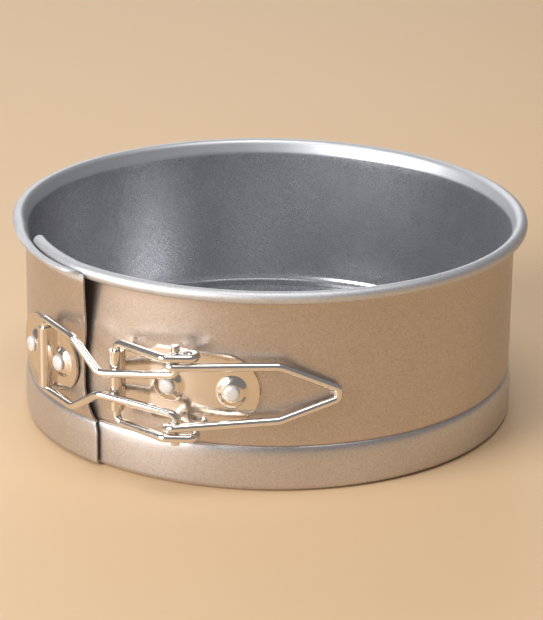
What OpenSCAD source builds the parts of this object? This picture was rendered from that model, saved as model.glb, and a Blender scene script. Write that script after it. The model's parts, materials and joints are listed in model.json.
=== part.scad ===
// Springform cake pan: a loose tray base inside a split sheet-metal ring,
// drawn together by a wire over-centre clasp. Origin on the pan's axis at the
// surface it stands on, +Z up, the clasp towards -Y. Azimuths are counted from
// -Y towards +X, and places around the ring are arc lengths from the seam.

/* [Ring] */
// Outer radius of the ring's plain wall
wall_r = 75.4; // [60:0.2:120]
// Height of the whole pan
pan_h = 62.2; // [45:0.2:90]
// Thickness of the sheet that the ring and the base are made of
sheet_t = 0.7; // [0.5:0.05:0.9]
// Diameter of the rolled rim
rim_d = 3.9; // [3.4:0.1:5]
// Height of the wide foot that holds the base's edge
foot_h = 13.5; // [10:0.5:20]
// How far the foot stands out from the wall
foot_out = 1.6; // [1.3:0.1:2.2]
// Azimuth of the visible seam, where the outer end of the ring stops
seam_az = -44.6; // [-60:0.2:-30]
// Length of the inner end that slides behind the outer end
tongue_len = 29.5; // [22:0.5:32]
// Length of the outer end that lies over the inner end
lap_len = 42.6; // [38:0.5:55]
// How far the outer end stands off at the rim, to pass outside the rolled rim
lap_rise = 5; // [4.6:0.1:6]
// Width of the open flange along the top of the outer end
flange_w = 2; // [1:0.1:2.6]

/* [Base] */
// How far under the top of the foot the base's turned-up edge stops
base_edge_under = 2.3; // [1.8:0.1:5]
// How much higher than the centre the outer band of the base lies
base_step = 1.9; // [1.6:0.1:3]
// Radius of the flat centre of the base, as a drop from the wall radius
base_step_in = 7; // [5:0.5:20]

/* [Clasp] */
// Diameter of both wires
wire_d = 2.5; // [1.8:0.1:3]
// Running clearance between a wire and what it turns in
wire_gap = 0.05; // [0.03:0.01:0.1]
// Height of the clasp's middle above the table
clasp_z = 30.5; // [26:0.5:36]
// Height of the rolled tubes that hold the wires
tube_h = 18.4; // [14:0.2:22]
// Thickness of the clasp's two plates
plate_t = 0.8; // [0.6:0.05:1]
// Height of the lever's plate
lever_plate_h = 22; // [18:0.5:24]
// Height of the catch's plate
catch_plate_h = 18.5; // [16:0.5:20]
// Arc length from the seam back to the catch's tube
catch_at = 15; // [13:0.5:17]
// Arc length from the seam on to the lever's tube
lever_at = 15.3; // [14:0.1:18]
// Arc length from the seam on to the pins that join the two wires
pin_at = 34; // [32:0.5:37]
// Arc length from the seam on to the lever's tip
tip_at = 78.7; // [70:0.1:90]
// Length of the slot in each of the lever's eyes
eye_len = 8.6; // [7:0.1:10]
// Distance between the lever's two arms
arm_spread = 17.6; // [16:0.2:20]
// Distance between the link's two arms at its waist
waist = 6.4; // [5:0.2:9]

/* [Rivets] */
// Diameter of a rivet's head
rivet_head_d = 4.8; // [4:0.1:5.4]
// Diameter of a rivet's shank
rivet_d = 2.6; // [2:0.1:3]
// Height of the pressed boss under each head
boss_h = 1.2; // [0.8:0.1:1.6]

/* [Hidden] */
$fn = 64;

full_turn = 360;
split_az = 180;        // where the ring's two halves meet, opposite the clasp
split_gap = 0.1;       // degrees left open there
mid_r = wall_r - sheet_t / 2;
inner_r = wall_r - sheet_t;
foot_mid_r = mid_r + foot_out;
rim_bend = (rim_d - sheet_t) / 2;
rim_r = mid_r + sheet_t / 2 + rim_bend + 0.45;
rim_z = pan_h - rim_d / 2;
corner_r = 1.75;       // bend at the bottom of the foot
lip_in = 1;            // how far the lip reaches in past the wall
flat_low = 18;         // the outer end is upright between these two heights,
flat_high = 42;        // where its bracket is riveted
foot_rise = 2 * sheet_t; // stand-off of the outer end at the foot
flat_rise = 3 * sheet_t; // and over its upright band
tongue_in = 2.6;       // how far the inner end leans in at the rim
tongue_foot_in = 0.3;  // and at the foot
base_gap = 0.5;        // clearance between the base's edge and the foot
base_edge_h = foot_h - base_edge_under;

wire_r = wire_d / 2;
bore_r = wire_r + wire_gap;
tube_r = bore_r + plate_t;
bend_r = wire_d;       // centre-line radius of the lever's bends
link_bend_r = wire_d * 0.8;
plate_gap = 0.05;      // between the lever's plate and the wall
shank_gap = 0.05;

// Places on the ring
function az_at(s) = seam_az + s / wall_r * 180 / PI;
function polar(az) = az - 90;
function place(r, az, z) = [r * sin(az), -r * cos(az), z];

notch_az = az_at(-lap_len);
tongue_az = az_at(-tongue_len);
catch_az = az_at(-catch_at);
lever_az = az_at(lever_at);
pin_az = az_at(pin_at);

// ---- outlines of bent sheet -------------------------------------------
function unit(v) = v / norm(v);
function left_of(v) = [-v[1], v[0]];
function step_dir(p, i) = unit(p[i + 1] - p[i]);
function mitre(p, i) =
    let (a = left_of(step_dir(p, max(i - 1, 0))),
         b = left_of(step_dir(p, min(i, len(p) - 2))),
         n = unit(a + b))
    n / (n * a);
function sheet_outline(p, t) = concat(
    [for (i = [0:len(p) - 1]) p[i] - mitre(p, i) * t / 2],
    [for (i = [len(p) - 1:-1:0]) p[i] + mitre(p, i) * t / 2]);
function arc(c, r, from, to, n) =
    [for (i = [0:n]) let (a = from + (to - from) * i / n) c + r * [cos(a), sin(a)]];
function blend(a, b, t) = a + (b - a) * t;

// Middle line of the wall, from the top of the foot's corner to under the rim
function wall_line() = [
    [foot_mid_r, foot_h - 2.2],
    [foot_mid_r - 0.25, foot_h - 1.2],
    [mid_r + 0.35, foot_h - 0.1],
    [mid_r, foot_h + 0.9],
    [mid_r, flat_low],
    [mid_r, flat_high],
    [mid_r, rim_z - 2.4]];
function foot_corner(from, n) =
    arc([foot_mid_r - corner_r, corner_r + sheet_t / 2], corner_r, from, 0, n);

// Full section: lip, foot, wall and rolled rim
function ring_line() = concat(
    [[inner_r - lip_in, sheet_t / 2]],
    foot_corner(-90, 4),
    wall_line(),
    arc([rim_r, rim_z], rim_bend, 180, -130, 11));

// Section of the outer end: no lip, and an open flange that dies out at the seam
function flange_part(u) = u < 0.7 ? 1 : max(0, (0.93 - u) / 0.23);
function lap_line(u) =
    let (g = flange_part(u), b = 1.3, turn = 4 + 78 * g,
         top = arc([mid_r + b, pan_h - 3.2], b, 180, 180 - turn, 4),
         dir = [sin(turn), cos(turn)])
    concat(foot_corner(-50, 3), wall_line(), top, [top[4] + dir * (0.4 + flange_w * g)]);

// Radial shift of each end of the ring, by height
function lap_shift(z) =
    lookup(z, [[foot_h - 1.5, foot_rise], [flat_low, flat_rise],
               [flat_high, flat_rise], [rim_z - 2.4, lap_rise]]);
function lap_ease(u) = sin(90 * u);
function tongue_shift(z) =
    -lookup(z, [[foot_h, tongue_foot_in], [rim_z - 2.4, tongue_in]]);
// The outer end's edge slants on at the foot, so that the foot overlaps longer
function lap_edge_az(z) =
    lookup(z, [[11, seam_az + 4], [foot_h, seam_az + 3.2], [22, seam_az]]);

// Surface made of one closed outline per step around the ring
module swept_sheet(rings) {
    n = len(rings[0]);
    m = len(rings);
    skin = [for (k = [0:m - 2], i = [0:n - 1])
            let (j = (i + 1) % n, a = k * n + i, b = k * n + j)
            each [[a, b, b + n], [a, b + n, a + n]]];
    half = n / 2;
    start = [for (i = [0:half - 2])
             each [[i, n - 1 - i, i + 1], [i + 1, n - 1 - i, n - 2 - i]]];
    o = (m - 1) * n;
    end = [for (f = start) [f[0] + o, f[2] + o, f[1] + o]];
    polyhedron(points = [for (r = rings) each r], faces = concat(skin, start, end));
}

module ring_sector(from_az, to_az)
    rotate([0, 0, polar(from_az)])
        rotate_extrude(angle = to_az - from_az)
            polygon(sheet_outline(ring_line(), sheet_t));

// Each bent end starts a little inside the plain stretch and is a little thinner
root = 0.5;            // degrees
root_t = sheet_t - 0.08;

module lap() {
    steps = 14;
    o = function (u) sheet_outline(lap_line(u), root_t);
    rings = [for (k = [0:steps])
        let (u = k / steps, back = k == 0 ? root : 0)
        [for (p = o(u)) place(p[0] + lap_ease(u) * lap_shift(p[1]),
                              blend(notch_az, lap_edge_az(p[1]), u) - back, p[1])]];
    swept_sheet(rings);
}

module tongue() {
    steps = 10;
    o = sheet_outline(ring_line(), root_t);
    rings = [for (k = [0:steps])
        let (u = 1 - k / steps, on = k == steps ? root : 0)
        [for (p = o) place(p[0] + u * u * tongue_shift(p[1]),
                           blend(seam_az, tongue_az, u) + on, p[1])]];
    swept_sheet(rings);
}

// ---- rivets ------------------------------------------------------------
// Frame with +Z pointing out from the pan at an azimuth and a height
module facing(az, z)
    translate([0, 0, z]) rotate([0, 0, polar(az)]) rotate([0, 90, 0]) children();

rivet_in_t = 0.7;
rivet_dome = 1.25;
lever_rivet_at = [29.7, 48.6];
catch_rivet_at = [8.2, 25.6];
lever_plate_z = clasp_z + 0.6;
catch_plate_z = clasp_z - 1;
lever_plate_r = wall_r + plate_gap;
function lap_out(s) =
    wall_r + flat_rise * lap_ease((lap_len - s) / lap_len);
// Distance from the axis to the flat back of each of the catch's two wings
wing_gap = 0.15;
wing_r = [for (s = catch_rivet_at) lap_out(s) + wing_gap];
wing_end = [7.1, 9];    // how far each wing reaches past its rivet

// A rivet from its head inside the pan to its head on a plate's boss
module rivet(az, z, inside_r, seat_r) {
    facing(az, z) {
        translate([0, 0, inside_r - rivet_in_t])
            cylinder(r = rivet_d, h = rivet_in_t);
        translate([0, 0, inside_r - rivet_in_t / 2])
            cylinder(d = rivet_d, h = seat_r + rivet_dome / 2 - inside_r + rivet_in_t / 2);
        translate([0, 0, seat_r])
            cylinder(d = rivet_head_d, h = rivet_dome * 0.6);
        translate([0, 0, seat_r + rivet_dome * 0.6])
            cylinder(d1 = rivet_head_d, d2 = rivet_head_d * 0.62, h = rivet_dome * 0.4);
    }
}

module rivet_hole(az, z, from_r, to_r)
    facing(az, z)
        translate([0, 0, from_r]) cylinder(d = rivet_d + 2 * shank_gap, h = to_r - from_r);

// Pressed boss on a plate whose outer face is at face_r
boss_low_d = 8.8;
boss_top_d = 5.6;
module boss(az, z, face_r)
    facing(az, z) translate([0, 0, face_r - plate_t / 2])
        cylinder(d1 = boss_low_d, d2 = boss_top_d, h = boss_h + plate_t / 2);
module boss_hollow(az, z, face_r)
    facing(az, z) translate([0, 0, face_r - plate_t - 0.5])
        cylinder(d1 = boss_low_d - 1, d2 = boss_top_d - 1.6, h = boss_h + 0.5);

seat_gap = 0.03;
inside_gap = 0.1;      // between the wall and a lever rivet's inner head
lap_inside_gap = 0.35; // the same for the catch's rivets, where the sheet leans

// ---- wires ---------------------------------------------------------------
wire_sides = 16;
bend_steps = 4;
skin_gap = 0.02;       // the bends' flat-sided skin lies this far inside the true round

function bend_trim(p, i, r) = let (c = step_dir(p, i - 1) * step_dir(p, i)) r * tan(acos(c) / 2);
// Points along corner points p, with every corner bent to radius r
function bend_points(p, i, r) =
    let (a = step_dir(p, i - 1), b = step_dir(p, i), turn = acos(a * b),
         inward = unit(b - a * (a * b)), start = p[i] - a * bend_trim(p, i, r))
    [for (k = [0:bend_steps]) let (t = turn * k / bend_steps)
        start + inward * r * (1 - cos(t)) + a * r * sin(t)];
function bent_path(p, r) = concat(
    [p[0]], [for (i = [1:len(p) - 2]) each bend_points(p, i, r)], [p[len(p) - 1]]);
function path_dir(q, i) =
    unit(step_dir(q, max(i - 1, 0)) + step_dir(q, min(i, len(q) - 2)));
// A direction square to the path at each point, carried along without twisting
function carried(q, i, side) =
    i == len(q) ? [] :
    let (d = path_dir(q, i), s = unit(side - d * (side * d)))
    concat([s], carried(q, i + 1, s));

module bent_wire(p, r) {
    q = bent_path(p, r);
    d0 = path_dir(q, 0);
    sides = carried(q, 0, abs(d0[0]) < 0.7 ? [1, 0, 0] : [0, 1, 0]);
    n = wire_sides;
    m = len(q);
    rings = [for (i = [0:m - 1], k = [0:n - 1])
        let (t = 360 * k / n, s = sides[i])
        q[i] + (wire_r - skin_gap) * (s * cos(t) + cross(path_dir(q, i), s) * sin(t))];
    skin = [for (i = [0:m - 2], k = [0:n - 1])
        let (j = (k + 1) % n, a = i * n + k, b = i * n + j)
        each [[a, a + n, b + n], [a, b + n, b]]];
    o = (m - 1) * n;
    ends = [for (k = [1:n - 2]) each [[0, k, k + 1], [o, o + k + 1, o + k]]];
    polyhedron(points = rings, faces = concat(skin, ends));
}

// True round stretch of an upright wire between two heights
module round_wire(p, from_z, to_z)
    translate([p[0], p[1], from_z]) cylinder(r = wire_r, h = to_z - from_z);

catch_r = wall_r + flat_rise + tube_r + 0.4;
lever_r = wall_r + tube_r + 3;
pin_r = lever_r + 1.5;
knee_r = lever_r + tube_r + wire_r + 0.9;
catch_p = place(catch_r, catch_az, 0);
lever_p = place(lever_r, lever_az, 0);
pin_p = place(pin_r, pin_az, 0);

// Heights from the clasp's middle
eye_z = 12.2;
arm_z = arm_spread / 2;
link_z = 6.1;
pin_end_z = 15.3;
loop_z = 11.2;
lever_lift = 1.3;      // the lever's far bends lie a little higher than its pins
eye_side = wire_r * 2 + 0.15;
far_bend_at = 61.9;     // arc lengths from the seam
waist_at = 12.4;
knee_at = 1.4;
far_bend = place(wall_r + wire_r + 2.35, az_at(far_bend_at), 0);
tip_p = place(wall_r + wire_r + 0.6, az_at(tip_at), 0);
tip_half = 1.6;
along = unit(far_bend - pin_p);
outward = cross(along, [0, 0, 1]);
up = [0, 0, 1];

// One side of the lever: tube, eye round the pin, arm, tip; side is 1 or -1
function lever_side(side) =
    let (right = eye_len - eye_side)
    [lever_p + up * side,
     lever_p + up * side * eye_z,
     pin_p - along * 3.2 + outward * (eye_side + 0.2) + up * side * eye_z,
     pin_p + along * right + outward * eye_side + up * side * eye_z,
     pin_p + along * right - outward * eye_side + up * side * (eye_z - 0.3),
     pin_p - along * eye_side - outward * eye_side + up * side * (eye_z - 1.6),
     pin_p - along * eye_side + outward * (eye_side + 0.35) + up * side * (eye_z - 2.8),
     far_bend + up * (lever_lift + side * (arm_z - 0.5)),
     tip_p + up * side * tip_half];

// One side of the link: pin, waist, loop at the catch's tube
function link_side(side) =
    [pin_p + up * side * pin_end_z,
     pin_p + up * side * link_z,
     place(knee_r, az_at(waist_at), side * waist / 2),
     place(knee_r - 2, az_at(knee_at), side * (loop_z - 0.3)),
     catch_p + up * side * loop_z];

function lifted(p) = [for (q = p) q + up * clasp_z];
function reversed(p) = [for (i = [len(p) - 1:-1:0]) p[i]];

// ---- sub-parts -------------------------------------------------------------
// Shallow tray: flat centre, raised outer band, turned-up edge
module base_tray()
    color([0.45, 0.45, 0.46])
        rotate_extrude()
            polygon(sheet_outline(concat(
                [[0, sheet_t / 2],
                 [wall_r - base_step_in - 1.5, sheet_t / 2],
                 [wall_r - base_step_in, base_step + sheet_t / 2]],
                arc([foot_mid_r - base_gap - sheet_t - corner_r,
                     base_step + sheet_t / 2 + corner_r], corner_r, -90, 0, 4),
                [[foot_mid_r - base_gap - sheet_t, base_edge_h]]), sheet_t));

module ring_inner_end()
    color([0.66, 0.61, 0.56])
        difference() {
            union() {
                ring_sector(seam_az, split_az);
                tongue();
            }
            for (s = lever_rivet_at)
                rivet_hole(az_at(s), lever_plate_z, inner_r - 2, wall_r + 2);
        }

module ring_outer_end()
    color([0.62, 0.58, 0.54])
        difference() {
            union() {
                ring_sector(split_az + split_gap, full_turn + notch_az);
                lap();
            }
            for (s = catch_rivet_at)
                rivet_hole(az_at(-s), catch_plate_z, inner_r - 1, wall_r + flat_rise + 2);
        }

// Curved plate with a round end, a slanting web and a rolled tube
lever_plate_len = 56.5;
web_foot_at = 23.6;
module lever_bracket() {
    end_r = lever_plate_h / 2;
    end_az = az_at(lever_plate_len - end_r);
    foot_az = az_at(web_foot_at);
    foot_p = place(lever_plate_r + plate_t / 2, foot_az, 0);
    web_dir = unit(lever_p - foot_p);
    web_side = cross(web_dir, up);
    tube_edge = lever_p + web_side * (bore_r + plate_t / 2);
    color([0.8, 0.76, 0.7])
        difference() {
            union() {
                intersection() {
                    difference() {
                        cylinder(r = lever_plate_r + plate_t, h = pan_h);
                        translate([0, 0, -1]) cylinder(r = lever_plate_r, h = pan_h + 2);
                    }
                    union() {
                        facing(end_az, lever_plate_z) cylinder(r = end_r, h = wall_r * 1.2);
                        translate([0, 0, lever_plate_z - end_r])
                            linear_extrude(lever_plate_h)
                                polygon([[0, 0],
                                    [for (i = [0, 1]) place(wall_r * 1.2, foot_az, 0)[i]],
                                    [for (i = [0, 1]) place(wall_r * 1.2, end_az, 0)[i]]]);
                    }
                }
                translate([0, 0, clasp_z - tube_h / 2])
                    linear_extrude(tube_h)
                        polygon([for (q = [foot_p - web_side * plate_t / 2,
                                           foot_p + web_side * plate_t / 2,
                                           tube_edge + web_side * plate_t / 2,
                                           tube_edge - web_side * plate_t / 2]) [q[0], q[1]]]);
                translate(lever_p + up * (clasp_z - tube_h / 2)) cylinder(r = tube_r, h = tube_h);
                for (s = lever_rivet_at)
                    boss(az_at(s), lever_plate_z, lever_plate_r + plate_t);
            }
            translate(lever_p) cylinder(r = bore_r, h = pan_h);
            for (s = lever_rivet_at) {
                boss_hollow(az_at(s), lever_plate_z, lever_plate_r + plate_t);
                rivet_hole(az_at(s), lever_plate_z, wall_r - 2, wall_r + 6);
            }
        }
}

// One flat wing of the catch, seen from outside: a straight part to the tube
// and a round end beyond the rivet; side is 1 towards the seam, -1 away from it
module catch_wing(i, side, end_past) {
    az = az_at(-catch_rivet_at[i]);
    r = catch_plate_h / 2;
    tube_off = catch_r * sin(catch_az - az);
    facing(az, catch_plate_z) translate([0, 0, wing_r[i]]) linear_extrude(plate_t) {
        translate([0, side * (end_past - r)]) circle(r = r);
        translate([-r, min(tube_off, side * (end_past - r))])
            square([catch_plate_h, abs(tube_off - side * (end_past - r))]);
    }
}

module catch_bracket()
    color([0.8, 0.76, 0.7])
        difference() {
            union() {
                catch_wing(0, 1, wing_end[0]);
                catch_wing(1, -1, wing_end[1]);
                translate(catch_p + up * (clasp_z - tube_h / 2)) cylinder(r = tube_r, h = tube_h);
                for (i = [0, 1])
                    boss(az_at(-catch_rivet_at[i]), catch_plate_z, wing_r[i] + plate_t);
            }
            translate(catch_p) cylinder(r = bore_r, h = pan_h);
            for (i = [0, 1]) {
                boss_hollow(az_at(-catch_rivet_at[i]), catch_plate_z, wing_r[i] + plate_t);
                rivet_hole(az_at(-catch_rivet_at[i]), catch_plate_z, wall_r - 2, wall_r + 9);
            }
        }

module lever_wire()
    color([0.78, 0.78, 0.78]) {
        path = lifted(concat(lever_side(1), reversed(lever_side(-1))));
        bent_wire(path, bend_r);
        round_wire(lever_p, clasp_z - tube_h / 2 - 0.2, clasp_z + tube_h / 2 + 0.2);
    }

module link_wire()
    color([0.78, 0.78, 0.78]) {
        path = lifted(concat(link_side(1), reversed(link_side(-1))));
        pin_from = link_z + link_bend_r + 0.1;
        bent_wire(path, link_bend_r);
        round_wire(catch_p, clasp_z - tube_h / 2, clasp_z + tube_h / 2);
        round_wire(pin_p, clasp_z + pin_from, clasp_z + pin_end_z + skin_gap);
        round_wire(pin_p, clasp_z - pin_end_z - skin_gap, clasp_z - pin_from);
    }

module lever_rivet(i)
    color([0.85, 0.85, 0.84])
        rivet(az_at(lever_rivet_at[i]), lever_plate_z, inner_r - inside_gap,
              lever_plate_r + plate_t + boss_h + seat_gap);

module catch_rivet(i)
    color([0.85, 0.85, 0.84])
        rivet(az_at(-catch_rivet_at[i]), catch_plate_z,
              lap_out(catch_rivet_at[i]) - sheet_t - lap_inside_gap,
              wing_r[i] + plate_t + boss_h + seat_gap);

base_tray();
ring_inner_end();
ring_outer_end();
lever_bracket();
catch_bracket();
lever_wire();
link_wire();
lever_rivet(0);  // lever_rivet_near
lever_rivet(1);  // lever_rivet_far
catch_rivet(0);  // catch_rivet_near
catch_rivet(1);  // catch_rivet_far
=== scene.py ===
"""A small springform cake pan, clasped shut: coated sheet steel, nickel-plated wire."""
import json
import math

import bmesh
import bpy
from mathutils import Matrix, Vector


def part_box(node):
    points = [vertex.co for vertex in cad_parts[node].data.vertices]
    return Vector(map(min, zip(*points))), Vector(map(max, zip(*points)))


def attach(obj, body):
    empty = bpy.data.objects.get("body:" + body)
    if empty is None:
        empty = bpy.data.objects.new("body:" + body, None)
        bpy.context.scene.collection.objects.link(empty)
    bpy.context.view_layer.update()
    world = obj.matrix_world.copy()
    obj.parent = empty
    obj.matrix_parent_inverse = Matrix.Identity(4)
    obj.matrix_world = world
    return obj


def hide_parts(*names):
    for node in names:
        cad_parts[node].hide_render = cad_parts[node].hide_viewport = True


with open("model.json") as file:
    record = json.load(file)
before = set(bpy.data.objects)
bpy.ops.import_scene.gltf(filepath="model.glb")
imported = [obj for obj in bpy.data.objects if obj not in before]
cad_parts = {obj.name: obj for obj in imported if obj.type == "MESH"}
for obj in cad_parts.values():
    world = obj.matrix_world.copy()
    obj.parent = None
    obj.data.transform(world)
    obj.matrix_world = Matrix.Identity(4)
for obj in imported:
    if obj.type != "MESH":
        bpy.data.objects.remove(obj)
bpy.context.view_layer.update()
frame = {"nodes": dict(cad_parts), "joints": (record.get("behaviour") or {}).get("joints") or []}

MM = 0.001


def joint_place(name):
    """The point of a hinge's axis, at the clasp's middle height."""
    return Vector(next(j["pos_m"] for j in frame["joints"] if j["name"] == name))


def box_centre(node):
    low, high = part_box(node)
    return (Vector(low) + Vector(high)) / 2


# ---- sizes, in metres, and places taken from the frame -------------------------
LEVER_AXIS = joint_place("lever_swing")
PIN_AXIS = joint_place("link_swing")
CATCH_AXIS = joint_place("ring_open")
CLASP_Z = LEVER_AXIS.z

PAN_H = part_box("ring_inner_end")[1][2]
RIM_OUT_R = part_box("ring_inner_end")[1][0]
SHEET = 0.7 * MM
RIM_D = 3.9 * MM
RIM_BEND = (RIM_D - SHEET) / 2
RIM_R = RIM_OUT_R - RIM_D / 2
RIM_Z = PAN_H - RIM_D / 2
RIM_OFFSET = 0.8 * MM          # from the wall's middle to where the rolled rim's bend starts
MID_R = RIM_R - RIM_BEND - RIM_OFFSET
WALL_R = MID_R + SHEET / 2
LIP_IN = 1.0 * MM
FOOT_H = 13.5 * MM
FOOT_OUT = 0.65 * MM
FOOT_R = MID_R + FOOT_OUT
CREASE_IN = 0.55 * MM
CORNER_R = 1.75 * MM           # bend at the bottom of the foot and of the base's edge
BASE_EDGE_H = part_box("base_tray")[1][2]
BASE_EDGE_GAP = 0.2 * MM
BASE_EDGE_R = FOOT_R - SHEET / 2 - BASE_EDGE_GAP
BASE_STEP = 1.9 * MM
BASE_STEP_IN = 7 * MM

# Azimuths, in degrees from the front towards +X
SEAM = -44.6                   # where the outer end stops
NOTCH = -76.97                 # where the outer end starts to stand off
TONGUE_END = -67.0             # where the inner end stops, behind the outer end
BACK = 180.0                   # where the ring's two halves meet

WIRE_R = 1.25 * MM
PLATE = 0.8 * MM
GAP = 0.05 * MM                # running clearance
TUBE_R = WIRE_R + GAP + PLATE / 2
TUBE_HALF = 9.2 * MM
RIVET_HEAD_R = 2.4 * MM
RIVET_HEAD_H = 1.25 * MM

SHEET_EDGE = 0.12 * MM         # rounding of the ring's cut edges


# ---- small geometry helpers ------------------------------------------------------
def azimuth(p):
    """Degrees round the pan from the front, towards +X."""
    return math.degrees(math.atan2(p.x, -p.y))


def place(r, az, z):
    a = math.radians(az)
    return Vector((r * math.sin(a), -r * math.cos(a), z))


def mix(a, b, t):
    return a + (b - a) * t


def smooth(t):
    t = min(max(t, 0.0), 1.0)
    return t * t * (3 - 2 * t)


def seam_az(s):
    """Azimuth at an arc length along the wall from the seam."""
    return SEAM + math.degrees(s / WALL_R)


def running_lengths(path):
    """Distance along a path to each of its points."""
    lengths = [0.0]
    for a, b in zip(path, path[1:]):
        lengths.append(lengths[-1] + (b - a).length)
    return lengths


def lookup(x, table):
    """Straight-line reading of a table of (x, y) pairs, level past its ends."""
    if x <= table[0][0]:
        return table[0][1]
    for (x0, y0), (x1, y1) in zip(table, table[1:]):
        if x <= x1:
            return mix(y0, y1, (x - x0) / (x1 - x0))
    return table[-1][1]


def arc(centre, radius, start, end, steps):
    """Points of a flat arc, in degrees, both ends included."""
    turns = [math.radians(mix(start, end, k / steps)) for k in range(steps + 1)]
    return [(centre[0] + radius * math.cos(a), centre[1] + radius * math.sin(a)) for a in turns]


def resampled(points, gap):
    """The same line with no step longer than gap."""
    out = [points[0]]
    for a, b in zip(points, points[1:]):
        parts = max(1, math.ceil(math.dist(a, b) / gap))
        out += [tuple(mix(p, q, k / parts) for p, q in zip(a, b)) for k in range(1, parts + 1)]
    return out


# ---- making objects --------------------------------------------------------------
SHARP = 35.0                   # edges that turn by more degrees than this are drawn sharp


def mesh_object(name, bm, material, sharp=SHARP):
    """Makes a bmesh into an object at the origin, smooth-shaded between its sharp edges."""
    mesh = bpy.data.meshes.new(name)
    bm.to_mesh(mesh)
    bm.free()
    mesh.materials.append(material)
    obj = bpy.data.objects.new(name, mesh)
    bpy.context.collection.objects.link(obj)
    shade(mesh, sharp)
    return obj


def shade(mesh, sharp):
    mesh.polygons.foreach_set("use_smooth", [True] * len(mesh.polygons))
    mesh.set_sharp_from_angle(angle=math.radians(sharp))


def bake_modifiers(obj):
    """Replaces an object's mesh with what its modifiers make of it."""
    graph = bpy.context.evaluated_depsgraph_get()
    graph.update()
    old = obj.data
    new = bpy.data.meshes.new_from_object(obj.evaluated_get(graph))
    obj.modifiers.clear()
    obj.data = new
    bpy.data.meshes.remove(old)
    shade(new, SHARP)
    return obj


def thicken(obj, thickness, edge):
    """Gives a bent sheet its thickness to both sides, and rounds its cut edges."""
    solid = obj.modifiers.new("thickness", "SOLIDIFY")
    solid.thickness = thickness
    solid.offset = 0
    bevel = obj.modifiers.new("edges", "BEVEL")
    bevel.width = edge
    bevel.segments = 2
    bevel.limit_method = "ANGLE"
    bevel.angle_limit = math.radians(55)
    return bake_modifiers(obj)


def line_verts(bm, points):
    """A chain of edges through points in the plane of radius and height."""
    verts = [bm.verts.new((r, 0, z)) for r, z in points]
    edges = [bm.edges.new(pair) for pair in zip(verts, verts[1:])]
    return verts + edges


BACK_SPARE = 2.0               # degrees that each half is spun past the back, then trimmed
BACK_FROM = 60 * MM            # only faces behind this are trimmed


def cut_at_back(obj, side):
    """Trims a half of the ring square at the back; side is the sign of x that goes."""
    bm = bmesh.new()
    bm.from_mesh(obj.data)
    near = [f for f in bm.faces if f.calc_center_median().y > BACK_FROM]
    geom = list({v for f in near for v in f.verts}) + list({e for f in near for e in f.edges})
    cut = bmesh.ops.bisect_plane(bm, geom=geom + near, plane_co=(0, 0, 0),
                                 plane_no=(side, 0, 0), clear_outer=True)["geom_cut"]
    loop = [g for g in cut if isinstance(g, bmesh.types.BMEdge)]
    bmesh.ops.triangle_fill(bm, edges=loop, use_beauty=True)
    bmesh.ops.remove_doubles(bm, verts=bm.verts, dist=0.001 * MM)
    bm.to_mesh(obj.data)
    bm.free()
    shade(obj.data, SHARP)
    return obj


def spun_sheet(points, from_az, to_az, step):
    """A line of (radius, height) points swept round the pan's axis between two azimuths."""
    bm = bmesh.new()
    geom = line_verts(bm, points)
    bmesh.ops.rotate(bm, verts=[g for g in geom if isinstance(g, bmesh.types.BMVert)],
                     cent=(0, 0, 0), matrix=Matrix.Rotation(math.radians(from_az - 90), 3, "Z"))
    bmesh.ops.spin(bm, geom=geom, cent=(0, 0, 0), axis=(0, 0, 1), dvec=(0, 0, 0),
                   angle=math.radians(to_az - from_az),
                   steps=max(1, round((to_az - from_az) / step)), use_merge=False)
    return bm


def full_turn(bm, points, steps, merge):
    """Spins a line of (radius, height) points right round, closed at the seam and the poles."""
    bmesh.ops.spin(bm, geom=line_verts(bm, points), cent=(0, 0, 0), axis=(0, 0, 1),
                   dvec=(0, 0, 0), angle=math.tau, steps=steps, use_merge=True)
    bmesh.ops.remove_doubles(bm, verts=bm.verts, dist=merge)
    bmesh.ops.recalc_face_normals(bm, faces=bm.faces)


def face_outwards(bm):
    """Turns a whole sheet over if its wall faces the pan's axis."""
    bm.normal_update()
    wall = min(bm.faces, key=lambda f: abs(f.calc_center_median().z - PAN_H / 2))
    centre = wall.calc_center_median()
    if wall.normal.dot(Vector((centre.x, centre.y, 0))) < 0:
        bmesh.ops.reverse_faces(bm, faces=bm.faces)


# ---- the ring ----------------------------------------------------------------------
def foot_corner(start, steps=6):
    return arc((FOOT_R - CORNER_R, CORNER_R + SHEET / 2), CORNER_R, start, 0, steps)


def wall_line():
    """Rounded shoulder of the foot, the crease where the sheet turns in, and the wall."""
    top = FOOT_H + 0.1 * MM
    low = FOOT_H - 4.6 * MM
    crease_r = MID_R - CREASE_IN
    in_r, out = crease_r + 0.2 * MM, FOOT_R - crease_r - 0.2 * MM
    turns = [math.radians(t) for t in range(0, 91, 10)]
    shoulder = [(in_r + out * math.cos(t), low + (top - low) * math.sin(t)) for t in turns]
    crease = [(crease_r + 0.05 * MM, top + 0.03 * MM), (crease_r, top + 0.12 * MM),
              (crease_r + 0.03 * MM, top + 0.25 * MM), (crease_r + 0.14 * MM, top + 0.45 * MM),
              (crease_r + 0.33 * MM, top + 0.75 * MM), (MID_R - 0.07 * MM, top + 1.15 * MM),
              (MID_R, top + 1.6 * MM)]
    return shoulder + crease + resampled([crease[-1], (MID_R, RIM_Z - 2.6 * MM)], 3 * MM)[1:]


def ring_line():
    """The plain ring's whole section: lip, foot, wall, neck and rolled rim."""
    lip = [(WALL_R - SHEET - LIP_IN, SHEET / 2)]
    neck = [(MID_R + 0.12 * MM, RIM_Z - 1.9 * MM), (MID_R + 0.4 * MM, RIM_Z - 1.2 * MM)]
    rim = arc((RIM_R, RIM_Z), RIM_BEND, 165, -130, 22)
    return lip + foot_corner(-90) + wall_line() + neck + rim


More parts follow.
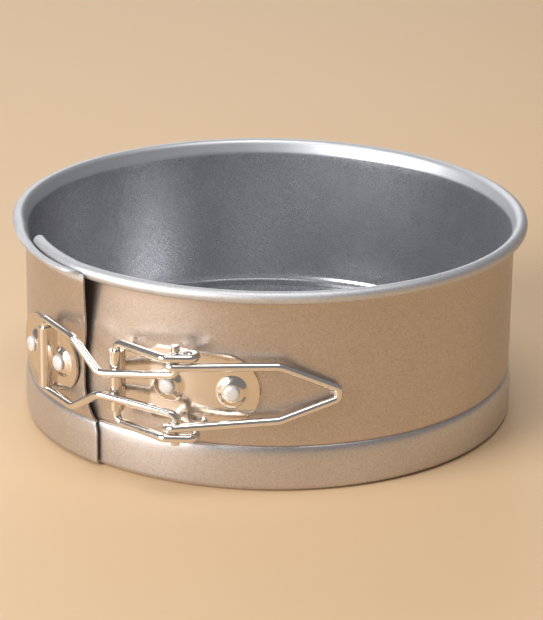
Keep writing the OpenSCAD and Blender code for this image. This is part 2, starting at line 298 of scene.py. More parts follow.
FLANGE_ROUND_FROM = 0.88       # where the flange's rounded end starts, as a part of the lap
FLANGE_ROUND = 0.085           # and how long it is


def flange_part(u):
    """Share of the flange's full width at u, from the notch (0) to the seam (1)."""
    past = (u - FLANGE_ROUND_FROM) / FLANGE_ROUND
    return 1.0 if past <= 0 else math.sqrt(max(0.0, 1 - past * past))


# How far each end leans in or stands out, by height
TONGUE_IN = [(FOOT_H, 0.3 * MM), (RIM_Z - 2.4 * MM, 2.6 * MM)]
LAP_OUT = [(FOOT_H - 1.5 * MM, 1.4 * MM), (18 * MM, 2.1 * MM), (42 * MM, 2.1 * MM),
           (RIM_Z - 2.4 * MM, 5.0 * MM)]
# Azimuth of the outer end's cut edge, by height
LAP_EDGE = [(11 * MM, SEAM + 4), (FOOT_H, SEAM + 3.2), (22 * MM, SEAM + 0.3),
            (34 * MM, SEAM + 0.2), (RIM_Z - 2 * MM, SEAM + 2.6)]


def ring_inner(material):
    """The inner end: 225 degrees of plain ring, and the tongue that slides behind the seam."""
    bm = spun_sheet(ring_line(), TONGUE_END, BACK + BACK_SPARE, step=1.0)
    for v in bm.verts:
        az = azimuth(v.co)
        if -90 < az < SEAM:
            u = (SEAM - az) / (SEAM - TONGUE_END)
            r = math.hypot(v.co.x, v.co.y) - u * smooth(u * 4) * lookup(v.co.z, TONGUE_IN)
            v.co = place(r, az, v.co.z)
    face_outwards(bm)
    sheet = thicken(mesh_object("ring_inner", bm, material), SHEET, SHEET_EDGE)
    return cut_at_back(sheet, -1)


FLANGE_STEPS = 14
FLANGE_STEP = 0.1 * MM         # between the flange's points while it is still straight
FLANGE_FROM = PAN_H - 2.7 * MM
FLANGE_LEN = 4.3 * MM          # of sheet, from the wall to the flange's edge
FLANGE_BEND = 1.3 * MM
FLANGE_TURN = 78               # degrees


def lap_line():
    """The outer end's line, with its flange still straight up: flange_point() bends it."""
    return (foot_corner(-50) + wall_line()
            + [(MID_R, FLANGE_FROM + k * FLANGE_STEP) for k in range(FLANGE_STEPS + 1)])


def flange_point(k, u):
    """Point k of the flange: rolled like the rim at the notch, flat and open beyond it."""
    t = k / FLANGE_STEPS
    rolled = arc((RIM_R, RIM_Z), RIM_BEND, mix(172, 20, t), 0, 1)[0]
    turn = math.radians(FLANGE_TURN)
    reach = FLANGE_LEN * t * mix(0.12, 1, flange_part(u))
    a = min(reach / FLANGE_BEND, turn)
    rest = max(reach - FLANGE_BEND * turn, 0)
    flat = (MID_R + FLANGE_BEND * (1 - math.cos(a)) + rest * math.sin(a),
            FLANGE_FROM + FLANGE_BEND * math.sin(a) + rest * math.cos(a))
    return [mix(p, q, smooth(u / 0.45)) for p, q in zip(rolled, flat)]


LAP_ROOT = 0.4                 # degrees that the lap starts inside the plain ring,
LAP_SHEET = SHEET - 0.06 * MM  # where it is a little thinner, so that no faces coincide


def ring_outer(material):
    """The outer end: plain ring from the back, then the lap that stands off over the tongue."""
    plain = spun_sheet(ring_line(), BACK - BACK_SPARE, 360 + NOTCH, step=1.0)
    face_outwards(plain)
    sheet = thicken(mesh_object("ring_outer", plain, material), SHEET, SHEET_EDGE)
    obj = cut_at_back(sheet, 1)
    lap = spun_sheet(lap_line(), NOTCH, SEAM, step=0.5)
    for v in lap.verts:
        u = (azimuth(v.co) - NOTCH) / (SEAM - NOTCH)
        r, z = math.hypot(v.co.x, v.co.y), v.co.z
        if z > FLANGE_FROM - FLANGE_STEP / 2:
            r, z = flange_point(round((z - FLANGE_FROM) / FLANGE_STEP), u)
        az = mix(NOTCH - LAP_ROOT, lookup(v.co.z, LAP_EDGE), u)
        v.co = place(r + math.sin(math.radians(90 * u)) * lookup(v.co.z, LAP_OUT), az, z)
    bmesh.ops.remove_doubles(lap, verts=lap.verts, dist=0.02 * MM)
    face_outwards(lap)
    return joined(obj, thicken(mesh_object("lap", lap, material), LAP_SHEET, SHEET_EDGE))


def joined(obj, other):
    """Adds another object's mesh to obj, and removes the other object."""
    bm = bmesh.new()
    bm.from_mesh(obj.data)
    bm.from_mesh(other.data)
    bpy.data.objects.remove(other)
    bm.to_mesh(obj.data)
    bm.free()
    shade(obj.data, SHARP)
    return obj


# ---- the base ----------------------------------------------------------------------
def base(material):
    """Loose base: flat centre, a rounded step, a raised band and a turned-up edge."""
    step_r = WALL_R - BASE_STEP_IN
    low, high = SHEET / 2, BASE_STEP + SHEET / 2
    edge_r = BASE_EDGE_R - SHEET / 2
    ramp = [(mix(step_r - 2.2 * MM, step_r + 0.6 * MM, k / 8), mix(low, high, smooth(k / 8)))
            for k in range(9)]
    line = ([(0, low)] + resampled([(8 * MM, low), ramp[0]], 6 * MM) + ramp[1:]
            + arc((edge_r - CORNER_R, high + CORNER_R), CORNER_R, -90, 0, 6)
            + [(edge_r, BASE_EDGE_H - 3 * MM), (edge_r, BASE_EDGE_H)])
    bm = bmesh.new()
    full_turn(bm, line, steps=180, merge=0.03 * MM)
    return thicken(mesh_object("base", bm, material), SHEET, 0.15 * MM)


# ---- brackets ----------------------------------------------------------------------
def bent_plate(name, path, half_height, mid_z, bosses, material):
    """A plate bent along a path in plan, as a grid whose columns close up towards both ends.
    half_height(s) gives its outline, and bosses its pressed domes as (s, z) from the middle."""
    lengths = running_lengths(path)
    bm = bmesh.new()
    bmesh.ops.create_grid(bm, x_segments=150, y_segments=34, size=1)
    for v in bm.verts:
        s = (1 - math.cos((v.co.x + 1) / 2 * math.pi)) / 2 * lengths[-1]
        k = min(max(i for i, d in enumerate(lengths) if d <= s + 1e-12), len(path) - 2)
        t = (s - lengths[k]) / (lengths[k + 1] - lengths[k])
        along = (path[k + 1] - path[k]).normalized()
        out = Vector((along.y, -along.x, 0))
        z = v.co.y * half_height(s)
        lift = max((dome(math.hypot(s - bs, z - bz)) for bs, bz in bosses), default=0)
        v.co = path[k].lerp(path[k + 1], t) + out * lift + Vector((0, 0, mid_z + z))
    bmesh.ops.remove_doubles(bm, verts=bm.verts, dist=0.03 * MM)
    bmesh.ops.recalc_face_normals(bm, faces=bm.faces)
    return thicken(mesh_object(name, bm, material), PLATE, 0.14 * MM)


BOSS_H = 1.2 * MM
BOSS_FLAT_R = 2.3 * MM
BOSS_SLOPE = 2.6 * MM


def dome(d):
    """Height of a pressed boss at a distance from its middle."""
    return BOSS_H * (1 - smooth((d - BOSS_FLAT_R) / BOSS_SLOPE))


def round_end(s, end, radius, half):
    """Half height of a plate with a half-round end at s = end."""
    past = radius - (end - s)
    if past <= 0:
        return half
    return math.sqrt(max(radius * radius - past * past, 0)) * half / radius


def plan_arc(centre, radius, start, end, steps):
    """Part of a circle in plan, in degrees from +X."""
    return [Vector((x, y, 0)) for x, y in arc((centre.x, centre.y), radius, start, end, steps)]


def heading(v):
    return math.degrees(math.atan2(v.y, v.x))


LEVER_PLATE_R = WALL_R + GAP + PLATE / 2
LEVER_PLATE_Z = box_centre("lever_rivet_near").z
LEVER_PLATE_HALF = 11 * MM
LEVER_PLATE_END = -1.7         # azimuth of its round end
WEB_WIDTH = 6.6                # degrees from the lever's axis to the foot of the web


def lever_plate(material):
    """From the rolled tube down a slanting web, then round the wall to a half-round end."""
    foot_az = azimuth(LEVER_AXIS) + WEB_WIDTH
    foot = place(LEVER_PLATE_R, foot_az, 0)
    axis = Vector((LEVER_AXIS.x, LEVER_AXIS.y, 0))
    web = (foot - axis).normalized()
    leave = heading(Vector((-web.y, web.x, 0)))
    roll = plan_arc(axis, TUBE_R, leave + 300, leave, 40)
    steps = 40
    wall = [place(LEVER_PLATE_R, mix(foot_az, LEVER_PLATE_END, k / steps), 0)
            for k in range(steps + 1)]
    path = roll + [roll[-1].lerp(foot, 0.5)] + wall
    lengths = running_lengths(path)
    total = lengths[-1]
    foot_s = lengths[len(roll) + 1]

    def half(s):
        body = mix(TUBE_HALF, LEVER_PLATE_HALF, smooth((s - foot_s + 1.5 * MM) / (3 * MM)))
        return round_end(s, total, LEVER_PLATE_HALF, body)

    def s_at(az):
        return foot_s + math.radians(az - foot_az) * LEVER_PLATE_R

    bosses = [(s_at(azimuth(box_centre(n))), box_centre(n).z - LEVER_PLATE_Z)
              for n in ("lever_rivet_near", "lever_rivet_far")]
    return bent_plate("lever_plate", path, half, LEVER_PLATE_Z, bosses, material)


CATCH_PLATE_Z = box_centre("catch_rivet_near").z
CATCH_HALF = 9.25 * MM
NEAR_WING_R = 77.55 * MM       # from the pan's axis to the back of each flat wing
FAR_WING_R = 76.8 * MM
NEAR_WING_END = 7.1            # millimetres that each wing reaches past its rivet
FAR_WING_END = 9
WING_FOOT = 0.2 * MM           # from the side of the channel to where a wing starts


def catch_plate(material):
    """Two flat wings with round ends, and between them the channel round the link's wire."""
    axis = Vector((CATCH_AXIS.x, CATCH_AXIS.y, 0))
    near, far = (azimuth(box_centre(n)) for n in ("catch_rivet_near", "catch_rivet_far"))
    near_out, far_out = place(1, near, 0), place(1, far, 0)
    near_along, far_along = place(1, near + 90, 0), place(1, far + 90, 0)
    near_mid = near_out * (NEAR_WING_R + PLATE / 2)
    far_mid = far_out * (FAR_WING_R + PLATE / 2)
    near_foot = near_mid + near_along * ((axis - near_mid).dot(near_along) + TUBE_R + WING_FOOT)
    far_foot = far_mid + far_along * ((axis - far_mid).dot(far_along) - TUBE_R - WING_FOOT)
    out = heading(place(1, azimuth(CATCH_AXIS), 0))
    channel = plan_arc(axis, TUBE_R, out - 105, out + 105, 30)
    path = ([far_mid - far_along * FAR_WING_END * MM, far_mid, far_foot] + channel
            + [near_foot, near_mid, near_mid + near_along * NEAR_WING_END * MM])
    path = [Vector(p) for p in resampled([tuple(p) for p in path], 0.5 * MM)]
    total = running_lengths(path)[-1]

    def half(s):
        return min(round_end(s, total, CATCH_HALF, CATCH_HALF),
                   round_end(total - s, total, CATCH_HALF, CATCH_HALF))

    return bent_plate("catch_plate", path, half, CATCH_PLATE_Z,
                      [(FAR_WING_END * MM, 0), (total - NEAR_WING_END * MM, 0)], material)


# ---- wires -------------------------------------------------------------------------
def bent_path(corners, radii, steps=8):
    """Corner points with every corner between the ends bent to its own radius."""
    out = [corners[0]]
    for before, at, after, radius in zip(corners, corners[1:], corners[2:], radii):
        a = (at - before).normalized()
        b = (after - at).normalized()
        turn = a.angle(b)
        inward = (b - a * a.dot(b)).normalized()
        start = at - a * radius * math.tan(turn / 2)
        for k in range(steps + 1):
            t = turn * k / steps
            out.append(start + inward * radius * (1 - math.cos(t)) + a * radius * math.sin(t))
    return out + [corners[-1]]


def wire(name, half, radii, material):
    """A round wire, mirrored about the clasp's middle, with slightly rounded ends."""
    corners = half(1) + half(-1)[::-1]
    radii = [r * MM for r in radii + radii[::-1]]
    curve = bpy.data.curves.new(name, "CURVE")
    curve.dimensions = "3D"
    curve.bevel_depth = WIRE_R
    curve.bevel_resolution = 8
    curve.use_fill_caps = True
    points = bent_path(corners, radii)
    spline = curve.splines.new("POLY")
    spline.points.add(len(points) - 1)
    for p, at in zip(spline.points, points):
        p.co = (*at, 1)
    temp = bpy.data.objects.new(name, curve)
    bpy.context.collection.objects.link(temp)
    graph = bpy.context.evaluated_depsgraph_get()
    graph.update()
    mesh = bpy.data.meshes.new_from_object(temp.evaluated_get(graph))
    bpy.data.objects.remove(temp)
    bm = bmesh.new()
    bm.from_mesh(mesh)
    bmesh.ops.remove_doubles(bm, verts=bm.verts, dist=0.001 * MM)
    bmesh.ops.recalc_face_normals(bm, faces=bm.faces)
    rims = [e for e in bm.edges if e.calc_face_angle(0) > math.radians(60)]
    bmesh.ops.bevel(bm, geom=rims, offset=0.2 * MM, affect="EDGES", segments=2, profile=0.5,
                    material=-1)
    return mesh_object(name, bm, material, 50)


UP = Vector((0, 0, 1))
EYE_Z = 12.2 * MM
LINK_Z = 6.1 * MM
PIN_END = 15.3 * MM
LOOP_Z = 11.2 * MM
EYE_SIDE = 2 * WIRE_R + 0.15 * MM
EYE_LEN = 8.6 * MM
LEVER_LIFT = 1.3 * MM          # the lever's far bends lie a little higher than its pins
ARM_HALF = 8.3 * MM
TIP_HALF = 1.6 * MM
WAIST_HALF = 3.2 * MM
FAR_BEND = place(WALL_R + WIRE_R + 2.35 * MM, seam_az(61.9 * MM), CLASP_Z)
TIP = place(WALL_R + WIRE_R + 0.6 * MM, seam_az(78.7 * MM), CLASP_Z)
WAIST_AZ = seam_az(12.4 * MM)
KNEE_AZ = seam_az(1.4 * MM)
# Bend radii in millimetres, from the end in the tube or the pin to the middle of the wire
LEVER_BENDS = [2.5] * 6 + [6.0, 1.5]
LINK_BENDS = [2.0, 4.0, 6.0, 2.0]


def lever_side(side):
    """Tube, eye round the link's pin, arm and tip; side is 1 above, -1 below."""
    along = FAR_BEND - PIN_AXIS
    along = Vector((along.x, along.y, 0)).normalized()
    out = along.cross(UP)
    right = EYE_LEN - EYE_SIDE
    pin = Vector((PIN_AXIS.x, PIN_AXIS.y, CLASP_Z))
    return [LEVER_AXIS + UP * side * 1 * MM,
            LEVER_AXIS + UP * side * EYE_Z,
            pin - along * 3.2 * MM + out * (EYE_SIDE + 0.2 * MM) + UP * side * EYE_Z,
            pin + along * right + out * EYE_SIDE + UP * side * EYE_Z,
            pin + along * right - out * EYE_SIDE + UP * side * (EYE_Z - 0.3 * MM),
            pin - along * EYE_SIDE - out * EYE_SIDE + UP * side * (EYE_Z - 1.6 * MM),
            pin - along * EYE_SIDE + out * (EYE_SIDE + 0.35 * MM) + UP * side * (EYE_Z - 2.8 * MM),
            FAR_BEND + UP * (LEVER_LIFT + side * ARM_HALF),
            TIP + UP * side * TIP_HALF]


def link_side(side):
    """Pin, waist and loop at the catch; side is 1 above, -1 below."""
    knee_r = math.hypot(LEVER_AXIS.x, LEVER_AXIS.y) + TUBE_R + PLATE / 2 + WIRE_R + 0.9 * MM
    return [PIN_AXIS + UP * side * PIN_END,
            PIN_AXIS + UP * side * LINK_Z,
            place(knee_r, WAIST_AZ, CLASP_Z + side * WAIST_HALF),
            place(knee_r - 2 * MM, KNEE_AZ, CLASP_Z + side * (LOOP_Z - 0.3 * MM)),
            CATCH_AXIS + UP * side * LOOP_Z]


# ---- rivets ------------------------------------------------------------------------
def rivet(name, node, seat, inside, material):
    """A flat head inside the pan, a shank and a low domed head on the boss."""
    centre = box_centre(node)
    head = RIVET_HEAD_R
    shank = 1.3 * MM
    top = seat + RIVET_HEAD_H
    line = [(0, inside), (2.3 * MM, inside + 0.02 * MM), (2.6 * MM, inside + 0.2 * MM),
            (2.6 * MM, inside + 0.6 * MM), (2.45 * MM, inside + 0.7 * MM),
            (shank, inside + 0.7 * MM), (shank, seat), (head - 0.15 * MM, seat),
            (head, seat + 0.15 * MM), (head, seat + 0.6 * MM), (head - 0.12 * MM, seat + 0.85 * MM),
            (head - 0.45 * MM, seat + 1.08 * MM), (head - 1.1 * MM, seat + 1.2 * MM),
            (0, top)]
    bm = bmesh.new()
    full_turn(bm, line, steps=48, merge=0.03 * MM)
    az = azimuth(centre)
    turn = place(1, az, 0).to_track_quat("Z", "Y").to_matrix().to_4x4()
    bmesh.ops.transform(bm, matrix=Matrix.Translation((0, 0, centre.z)) @ turn, verts=bm.verts)
    return mesh_object(name, bm, material, 40)


def radial_span(node):
    """How far from the axis a node reaches along its own azimuth: nearest, farthest."""
    obj = frame["nodes"][node]
    out = place(1, azimuth(box_centre(node)), 0)
    reach = [v.co.dot(out) for v in obj.data.vertices]
    return min(reach), max(reach)


# ---- materials ---------------------------------------------------------------------
def add(tree, kind, **settings):
    node = tree.nodes.new(kind)
    for key, value in settings.items():
        setattr(node, key, value)
    return node


def feed(tree, socket, value):
    """Gives a socket a constant, or links another node's output to it."""
    if isinstance(value, bpy.types.NodeSocket):
        tree.links.new(value, socket)
    else:
        socket.default_value = value


def node_group(name, inputs, outputs):
    """A shader group with number sockets, its group input node and its group output node."""
    group = bpy.data.node_groups.new(name, "ShaderNodeTree")
    for label, value in inputs.items():
        socket = group.interface.new_socket(name=label, in_out="INPUT",
                                            socket_type="NodeSocketFloat")
        socket.default_value = value
    for label in outputs:
        group.interface.new_socket(name=label, in_out="OUTPUT", socket_type="NodeSocketFloat")
    return group, add(group, "NodeGroupInput"), add(group, "NodeGroupOutput")


def math_node(tree, operation, a, b):
    node = add(tree, "ShaderNodeMath", operation=operation)
    feed(tree, node.inputs[0], a)
    feed(tree, node.inputs[1], b)
    return node.outputs[0]


def ranged(tree, value, low, high, to_low=0.0, to_high=1.0):
    """A smooth step from to_low at low to to_high at high."""
    node = add(tree, "ShaderNodeMapRange", interpolation_type="SMOOTHSTEP")
    for label, number in (("Value", value), ("From Min", low), ("From Max", high),
                          ("To Min", to_low), ("To Max", to_high)):
        feed(tree, node.inputs[label], number)
    return node.outputs["Result"]


def mixed(tree, factor, a, b):
    """Colour between a and b by factor."""
    node = add(tree, "ShaderNodeMix", data_type="RGBA")
    for label, value in (("Factor", factor), ("A", a), ("B", b)):
        feed(tree, node.inputs[label], value)
    return node.outputs["Result"]


def darker(colour, by):
    return tuple(c * by for c in colour[:3]) + (1,)


def flake_group():
    """Metal flakes in a coating: a mask of fine bright and dark grains, and their height."""
    group, inside, outside = node_group("metal_flakes", {"Size": 0.4, "Seed": 0.0},
                                        ["Bright", "Dark", "Height"])
    coord = add(group, "ShaderNodeTexCoord")
    scale = math_node(group, "DIVIDE", 1000.0, inside.outputs["Size"])
    grain = add(group, "ShaderNodeTexVoronoi", voronoi_dimensions="4D")
    fine = add(group, "ShaderNodeTexNoise", noise_dimensions="4D")
    for node in (grain, fine):
        group.links.new(coord.outputs["Object"], node.inputs["Vector"])
        group.links.new(inside.outputs["Seed"], node.inputs["W"])
        group.links.new(scale, node.inputs["Scale"])
    fine.inputs["Detail"].default_value = 3
    sparkle = add(group, "ShaderNodeSeparateColor")
    group.links.new(grain.outputs["Color"], sparkle.inputs[0])
    group.links.new(ranged(group, sparkle.outputs[0], 0.8, 0.97), outside.inputs["Bright"])
    group.links.new(ranged(group, sparkle.outputs[1], 0.72, 0.95), outside.inputs["Dark"])
    group.links.new(fine.outputs["Fac"], outside.inputs["Height"])
    return group


def cloud_group():
    """Slow, soft variation over a surface, and finer smudges."""
    group, inside, outside = node_group("soft_clouds", {"Size": 30.0, "Seed": 0.0},
                                        ["Cloud", "Smudge"])
    coord = add(group, "ShaderNodeTexCoord")
    for label, finer, detail in (("Cloud", 1.0, 2.0), ("Smudge", 6.0, 4.0)):
        noise = add(group, "ShaderNodeTexNoise", noise_dimensions="4D")
        noise.inputs["Detail"].default_value = detail
        group.links.new(coord.outputs["Object"], noise.inputs["Vector"])
        group.links.new(inside.outputs["Seed"], noise.inputs["W"])
        scale = math_node(group, "DIVIDE", 1000.0 * finer, inside.outputs["Size"])
        group.links.new(scale, noise.inputs["Scale"])
        group.links.new(ranged(group, noise.outputs["Fac"], 0.35, 0.65), outside.inputs[label])
    return group


def facing_group():
    """Outside is 1 where a surface faces away from the pan's axis; Height mm is its height."""
    group, inside, outside = node_group("outer_side", {"Softness": 0.35},
                                        ["Outside", "Height mm"])
    coord = add(group, "ShaderNodeTexCoord")
    geometry = add(group, "ShaderNodeNewGeometry")
    flat = add(group, "ShaderNodeVectorMath", operation="MULTIPLY")
    group.links.new(coord.outputs["Object"], flat.inputs[0])
    flat.inputs[1].default_value = (1, 1, 0)
    radial = add(group, "ShaderNodeVectorMath", operation="NORMALIZE")
    group.links.new(flat.outputs[0], radial.inputs[0])
    dot = add(group, "ShaderNodeVectorMath", operation="DOT_PRODUCT")
    group.links.new(radial.outputs[0], dot.inputs[0])
    group.links.new(geometry.outputs["Normal"], dot.inputs[1])
    soft = inside.outputs["Softness"]
    facing = ranged(group, dot.outputs["Value"], math_node(group, "MULTIPLY", soft, -1.0), soft)
    group.links.new(facing, outside.inputs["Outside"])
    split = add(group, "ShaderNodeSeparateXYZ")
    group.links.new(coord.outputs["Object"], split.inputs[0])
    group.links.new(math_node(group, "MULTIPLY", split.outputs["Z"], 1000.0),
                    outside.inputs["Height mm"])
    return group


def wear_group():
    """Wear is up to 1 along edges, within Width millimetres, and broken up by noise."""
    group, inside, outside = node_group("edge_wear", {"Width": 0.3}, ["Wear"])
    bevel = add(group, "ShaderNodeBevel", samples=6)
    group.links.new(math_node(group, "MULTIPLY", inside.outputs["Width"], MM),
                    bevel.inputs["Radius"])
    geometry = add(group, "ShaderNodeNewGeometry")
    dot = add(group, "ShaderNodeVectorMath", operation="DOT_PRODUCT")
    group.links.new(bevel.outputs[0], dot.inputs[0])
    group.links.new(geometry.outputs["Normal"], dot.inputs[1])
    coord = add(group, "ShaderNodeTexCoord")
    noise = add(group, "ShaderNodeTexNoise")
    noise.inputs["Scale"].default_value = 900
    group.links.new(coord.outputs["Object"], noise.inputs["Vector"])
    edge = ranged(group, dot.outputs["Value"], 0.995, 0.9)
    patches = ranged(group, noise.outputs["Fac"], 0.3, 0.6)
    group.links.new(math_node(group, "MULTIPLY", edge, patches), outside.inputs["Wear"])
    return group


GROUPS = {"flakes": flake_group(), "clouds": cloud_group(), "side": facing_group(),
          "wear": wear_group()}


def use(tree, group, **values):
    node = add(tree, "ShaderNodeGroup", node_tree=GROUPS[group])
    for label, value in values.items():
        node.inputs[label].default_value = value
    return node.outputs


def new_material(name, metallic, roughness):
    material = bpy.data.materials.new(name)
    material.use_nodes = True
    tree = material.node_tree
    shader = tree.nodes["Principled BSDF"]
    shader.inputs["Metallic"].default_value = metallic
    shader.inputs["Roughness"].default_value = roughness
    return material, tree, shader


def bump(tree, shader, height, distance, strength=1.0):
    node = add(tree, "ShaderNodeBump")
    node.inputs["Strength"].default_value = strength
    node.inputs["Distance"].default_value = distance
    tree.links.new(height, node.inputs["Height"])
    tree.links.new(node.outputs["Normal"], shader.inputs["Normal"])


# Heights between which the painted highlight on the rim (where roughness also rises) and the
# fainter painted highlight on the foot fade in
RIM_HIGHLIGHT_AND_ROUGHNESS_FROM_MM = (57.4, 58.8)
FOOT_HIGHLIGHT_FROM_MM = (14.6, 13.2)


def coated_steel(name, outer, inner, rim, roughness):
    """Metallic non-stick coating: warm and sparkling outside, greyer and smoother inside, with a
    painted highlight: a paler colour on the rim and, fainter, on the outside of the foot. roughness
    is that of the inside, that of the outside, and what the rim adds."""
    rough_in, rough_out, rough_rim = roughness
    material, tree, shader = new_material(name, 0.9, rough_out)
    side = use(tree, "side")
    flakes = use(tree, "flakes", Size=0.3, Seed=1.0)
    clouds = use(tree, "clouds", Size=35.0, Seed=2.0)
    outside = side["Outside"]
    # top masks the rim band: its paler colour there is a painted highlight, and it also adds
    # roughness
    top = ranged(tree, side["Height mm"], *RIM_HIGHLIGHT_AND_ROUGHNESS_FROM_MM)
    colour = mixed(tree, outside, inner, outer)
    # painted highlight on the outside of the foot: its colour is moved towards the rim's paler
    # colour
    foot = math_node(tree, "MULTIPLY", ranged(tree, side["Height mm"], *FOOT_HIGHLIGHT_FROM_MM), outside)
    colour = mixed(tree, foot, colour, tuple(mix(a, b, 0.55) for a, b in zip(outer, rim)))
    colour = mixed(tree, top, colour, rim)
    mottle = math_node(tree, "MULTIPLY", clouds["Cloud"], ranged(tree, outside, 0, 1, 0.03, 0.14))
    colour = mixed(tree, mottle, colour, darker(outer, 0.8))
    bright = math_node(tree, "MULTIPLY", flakes["Bright"],
                       ranged(tree, outside, 0, 1, 0.1, 0.24))
    colour = mixed(tree, bright, colour, (0.9, 0.87, 0.83, 1))
    dark = math_node(tree, "MULTIPLY", flakes["Dark"], ranged(tree, outside, 0, 1, 0.08, 0.22))
    colour = mixed(tree, dark, colour, (0.14, 0.13, 0.12, 1))
    wear = use(tree, "wear", Width=0.12)
    colour = mixed(tree, math_node(tree, "MULTIPLY", wear["Wear"], 0.35), colour,
                   (0.8, 0.79, 0.77, 1))
    tree.links.new(colour, shader.inputs["Base Color"])
    rough = ranged(tree, outside, 0, 1, rough_in, rough_out)
    rough = math_node(tree, "ADD", rough, math_node(tree, "MULTIPLY", top, rough_rim))
    rough = math_node(tree, "ADD", rough, ranged(tree, flakes["Height"], 0.3, 0.7, -0.04, 0.06))
    rough = math_node(tree, "ADD", rough, ranged(tree, clouds["Smudge"], 0, 1, -0.008, 0.012))
    tree.links.new(rough, shader.inputs["Roughness"])
    bump(tree, shader, flakes["Height"], 0.03 * MM, 0.5)
    return material


def plated(name, colour, roughness, grain):
    """Bright nickel plate with faint drawing marks and smudges."""
    material, tree, shader = new_material(name, 1.0, roughness)
    clouds = use(tree, "clouds", Size=6.0, Seed=5.0)
    flakes = use(tree, "flakes", Size=0.25, Seed=7.0)
    base_colour = mixed(tree, math_node(tree, "MULTIPLY", clouds["Cloud"], 0.35), colour,
                        darker(colour, 0.88))
    wear = use(tree, "wear", Width=0.1)
    base_colour = mixed(tree, math_node(tree, "MULTIPLY", wear["Wear"], 0.3), base_colour,
                        (0.62, 0.58, 0.54, 1))
    tree.links.new(base_colour, shader.inputs["Base Color"])
    smudge = ranged(tree, clouds["Smudge"], 0, 1, 0, 0.09)
    tree.links.new(math_node(tree, "ADD", smudge, roughness), shader.inputs["Roughness"])
    bump(tree, shader, flakes["Height"], grain, 0.3)
    return material


def tumbled_aluminium():
    """Matt, slightly pitted rivet metal."""
    material, tree, shader = new_material("tumbled_aluminium", 0.55, 0.5)
    flakes = use(tree, "flakes", Size=0.5, Seed=11.0)
    clouds = use(tree, "clouds", Size=2.4, Seed=12.0)
    base_colour = mixed(tree, math_node(tree, "MULTIPLY", clouds["Cloud"], 0.5),
                        (0.86, 0.86, 0.85, 1), (0.66, 0.65, 0.64, 1))
    base_colour = mixed(tree, math_node(tree, "MULTIPLY", flakes["Dark"], 0.3), base_colour,
                        (0.4, 0.39, 0.38, 1))
    tree.links.new(base_colour, shader.inputs["Base Color"])
    tree.links.new(ranged(tree, clouds["Smudge"], 0, 1, 0.4, 0.62), shader.inputs["Roughness"])
    bump(tree, shader, flakes["Height"], 0.12 * MM, 0.6)
    return material


# The third colour of each coating is the painted highlight on its rim (and, mixed in, on its foot)
RING_COAT = coated_steel("ring_coating", (0.58, 0.5, 0.44, 1), (0.56, 0.56, 0.58, 1),
                         (0.66, 0.66, 0.68, 1), (0.27, 0.34, 0.2))
BASE_COAT = coated_steel("base_coating", (0.52, 0.52, 0.54, 1), (0.56, 0.56, 0.58, 1),
                         (0.5, 0.5, 0.5, 1), (0.25, 0.25, 0))
PLATE_NICKEL = plated("plate_nickel", (0.8, 0.72, 0.64, 1), 0.13, 0.003 * MM)
WIRE_NICKEL = plated("wire_nickel", (0.84, 0.8, 0.76, 1), 0.09, 0.002 * MM)
RIVET_METAL = tumbled_aluminium()


# ---- the object --------------------------------------------------------------------
def keep(obj, body, node):
    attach(obj, body)
    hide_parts(node)
    return obj


keep(base(BASE_COAT), "base", "base_tray")
keep(ring_inner(RING_COAT), "ring", "ring_inner_end")
keep(ring_outer(RING_COAT), "outer_end", "ring_outer_end")
keep(lever_plate(PLATE_NICKEL), "ring", "lever_bracket")
keep(catch_plate(PLATE_NICKEL), "outer_end", "catch_bracket")
keep(wire("lever", lever_side, LEVER_BENDS, WIRE_NICKEL), "lever", "lever_wire")
keep(wire("link", link_side, LINK_BENDS, WIRE_NICKEL), "link", "link_wire")
for node, body in (("lever_rivet_near", "ring"), ("lever_rivet_far", "ring"),
                   ("catch_rivet_near", "outer_end"), ("catch_rivet_far", "outer_end")):
    nearest, farthest = radial_span(node)
    seat = farthest - RIVET_HEAD_H
    keep(rivet(node + "_head", node, seat, nearest, RIVET_METAL), body, node)


# ---- floor, light and camera -------------------------------------------------------
def floor():
    """A plain pale floor."""
    bm = bmesh.new()
    bmesh.ops.create_grid(bm, x_segments=1, y_segments=1, size=4)
    material, _, shader = new_material("pale_floor", 0.0, 0.55)
    shader.inputs["Base Color"].default_value = (0.74, 0.51, 0.3, 1)
    mesh_object("floor", bm, material)


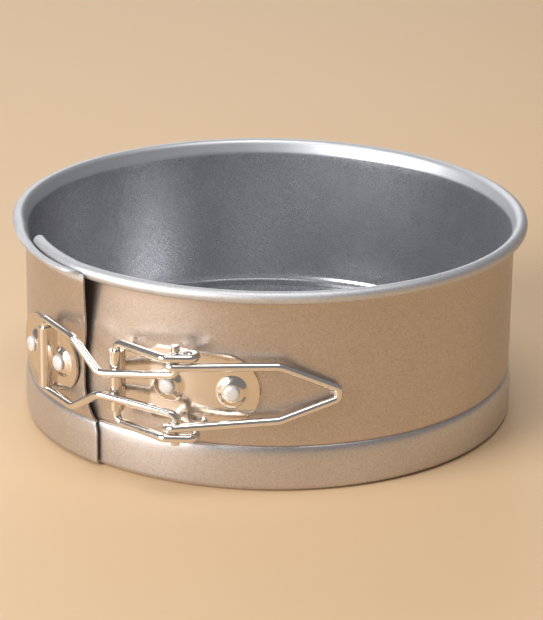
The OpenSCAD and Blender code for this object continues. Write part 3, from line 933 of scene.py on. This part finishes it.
def soft_light(name, place_at, target, size, power, colour):
    light = bpy.data.lights.new(name, "AREA")
    light.shape = "RECTANGLE"
    light.size, light.size_y = size
    light.energy = power
    light.color = colour
    obj = bpy.data.objects.new(name, light)
    bpy.context.collection.objects.link(obj)
    obj.location = place_at
    obj.rotation_euler = (Vector(target) - Vector(place_at)).to_track_quat("-Z", "Y").to_euler()


def studio():
    """Soft daylight from the front left, with weak light from behind and above."""
    world = bpy.data.worlds.new("studio")
    bpy.context.scene.world = world
    world.use_nodes = True
    background = world.node_tree.nodes["Background"]
    background.inputs["Color"].default_value = (0.95, 0.97, 1.0, 1)
    background.inputs["Strength"].default_value = 0.24
    bpy.context.scene.view_settings.view_transform = "Standard"
    middle = (0, 0, 0.03)
    daylight = (0.97, 0.985, 1.0)
    soft_light("window", (-1.45, -1.0, 0.72), middle, (1.15, 1.0), 40, daylight)
    soft_light("back_window", (-0.4, 1.3, 0.7), middle, (1.4, 0.7), 5, daylight)
    soft_light("top", (0.05, -0.25, 1.3), middle, (0.8, 0.7), 7, (1, 1, 1))


CAMERA_ELEVATION = 21.63       # degrees
CAMERA_DISTANCE = 0.85085
CAMERA_RISE = 27.14 * MM       # how far above and beside the origin the camera aims
CAMERA_ASIDE = 0.83 * MM
CAMERA_ROLL = 0.81             # degrees
CAMERA_LENS = 178.0            # for a sensor 36 wide


def camera():
    data = bpy.data.cameras.new("camera")
    data.sensor_fit = "HORIZONTAL"
    data.sensor_width = 36
    data.lens = CAMERA_LENS
    data.clip_start = 0.05
    obj = bpy.data.objects.new("camera", data)
    bpy.context.collection.objects.link(obj)
    e = math.radians(CAMERA_ELEVATION)
    at = Vector((0, -math.cos(e), math.sin(e))) * CAMERA_DISTANCE
    rise = Vector((0, math.sin(e), math.cos(e))) * CAMERA_RISE
    aim = rise + Vector((CAMERA_ASIDE, 0, 0))
    look = (aim - at).to_track_quat("-Z", "Y").to_matrix().to_4x4()
    roll = Matrix.Rotation(math.radians(CAMERA_ROLL), 4, "Z")
    obj.matrix_world = Matrix.Translation(at) @ look @ roll
    bpy.context.scene.camera = obj


floor()
studio()
camera()
